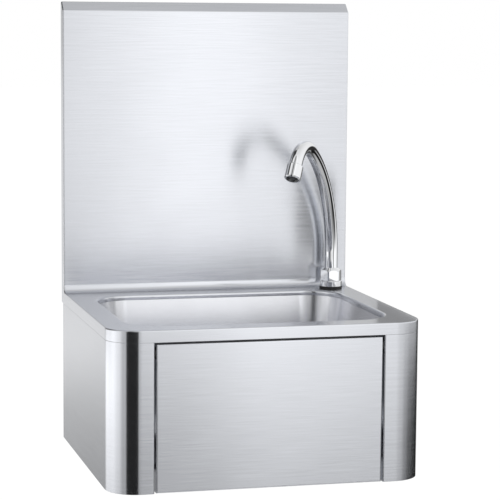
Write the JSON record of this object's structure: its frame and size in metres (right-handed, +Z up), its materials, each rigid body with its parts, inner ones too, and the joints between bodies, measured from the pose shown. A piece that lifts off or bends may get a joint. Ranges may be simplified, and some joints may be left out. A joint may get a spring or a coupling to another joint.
{
  "type": "wall-hung hand wash sink",
  "caption": "Wall-hung stainless steel hand wash sink with a tall splashback, pressed bowl, knee push panel and a swivelling gooseneck spout.",
  "frame": {"origin": "on the wall plane, in the middle of the four wall fixing holes", "axes": "+Z up, +Y into the wall, +X to the right as seen by someone at the bowl"},
  "size_m": [0.4, 0.36, 0.594],
  "materials": {
    "satin_steel": "brushed stainless steel sheet",
    "bowl_steel": "satin pressed stainless steel",
    "inner_steel": "mill finish stainless steel",
    "chrome": "polished chrome plate",
    "brass": "cast and turned brass",
    "black_rubber": "moulded rubber",
    "nylon": "natural nylon",
    "dark_plastic": "moulded acetal",
    "hose_braid": "stainless wire braid"
  },
  "bodies": {
    "sink": {"top_sheet": "satin_steel", "bowl": "bowl_steel", "side_panel_left": "satin_steel", "side_panel_right": "satin_steel", "rear_rail": "inner_steel", "front_rail": "inner_steel", "valve_bar": "inner_steel", "stop_pads": "black_rubber", "travel_buffers": "black_rubber", "hinge_pins": "inner_steel", "valve_body": "brass", "valve_nut": "brass", "tap_gasket": "black_rubber", "tap_shank": "chrome", "tap_nut": "chrome", "deck_washer": "black_rubber", "deck_nut": "brass", "strainer": "chrome", "waste_gasket": "black_rubber", "waste_body": "dark_plastic", "waste_screw": "inner_steel", "inner_hose": "hose_braid", "hose_nut_valve": "brass", "hose_nut_tap": "brass"},
    "knee_panel": {"knee_panel": "satin_steel", "panel_rib": "inner_steel", "striker_pad": "black_rubber", "hinge_bushes": "nylon"},
    "plunger": {"valve_plunger": "chrome"},
    "spout": {"spout_tube": "chrome", "aerator_housing": "chrome", "aerator_insert": "dark_plastic", "aerator_seal": "black_rubber"}
  },
  "joints": [
    {"name": "knee_panel_hinge", "type": "hinge", "parent": "sink", "child": "knee_panel", "pos_m": [0, -0.351, 0.072], "axis": [1, 0, 0], "range_deg": [0, 5], "stiffness_Nm_per_rad": 12, "springref_deg": -3.44},
    {"name": "plunger_slide", "type": "slide", "parent": "sink", "child": "plunger", "axis": [0, 1, 0], "range_m": [0, 0.0114], "stiffness_N_per_m": 300, "springref_m": -0.004},
    {"name": "spout_swivel", "type": "hinge", "parent": "sink", "child": "spout", "pos_m": [0.17, -0.046, 0.15], "axis": [0, 0, 1], "range_deg": [-57, 130]}
  ],
  "couplings": [
    {"joint": "plunger_slide", "follows": "knee_panel_hinge", "m_per_rad": 0.13}
  ]
}
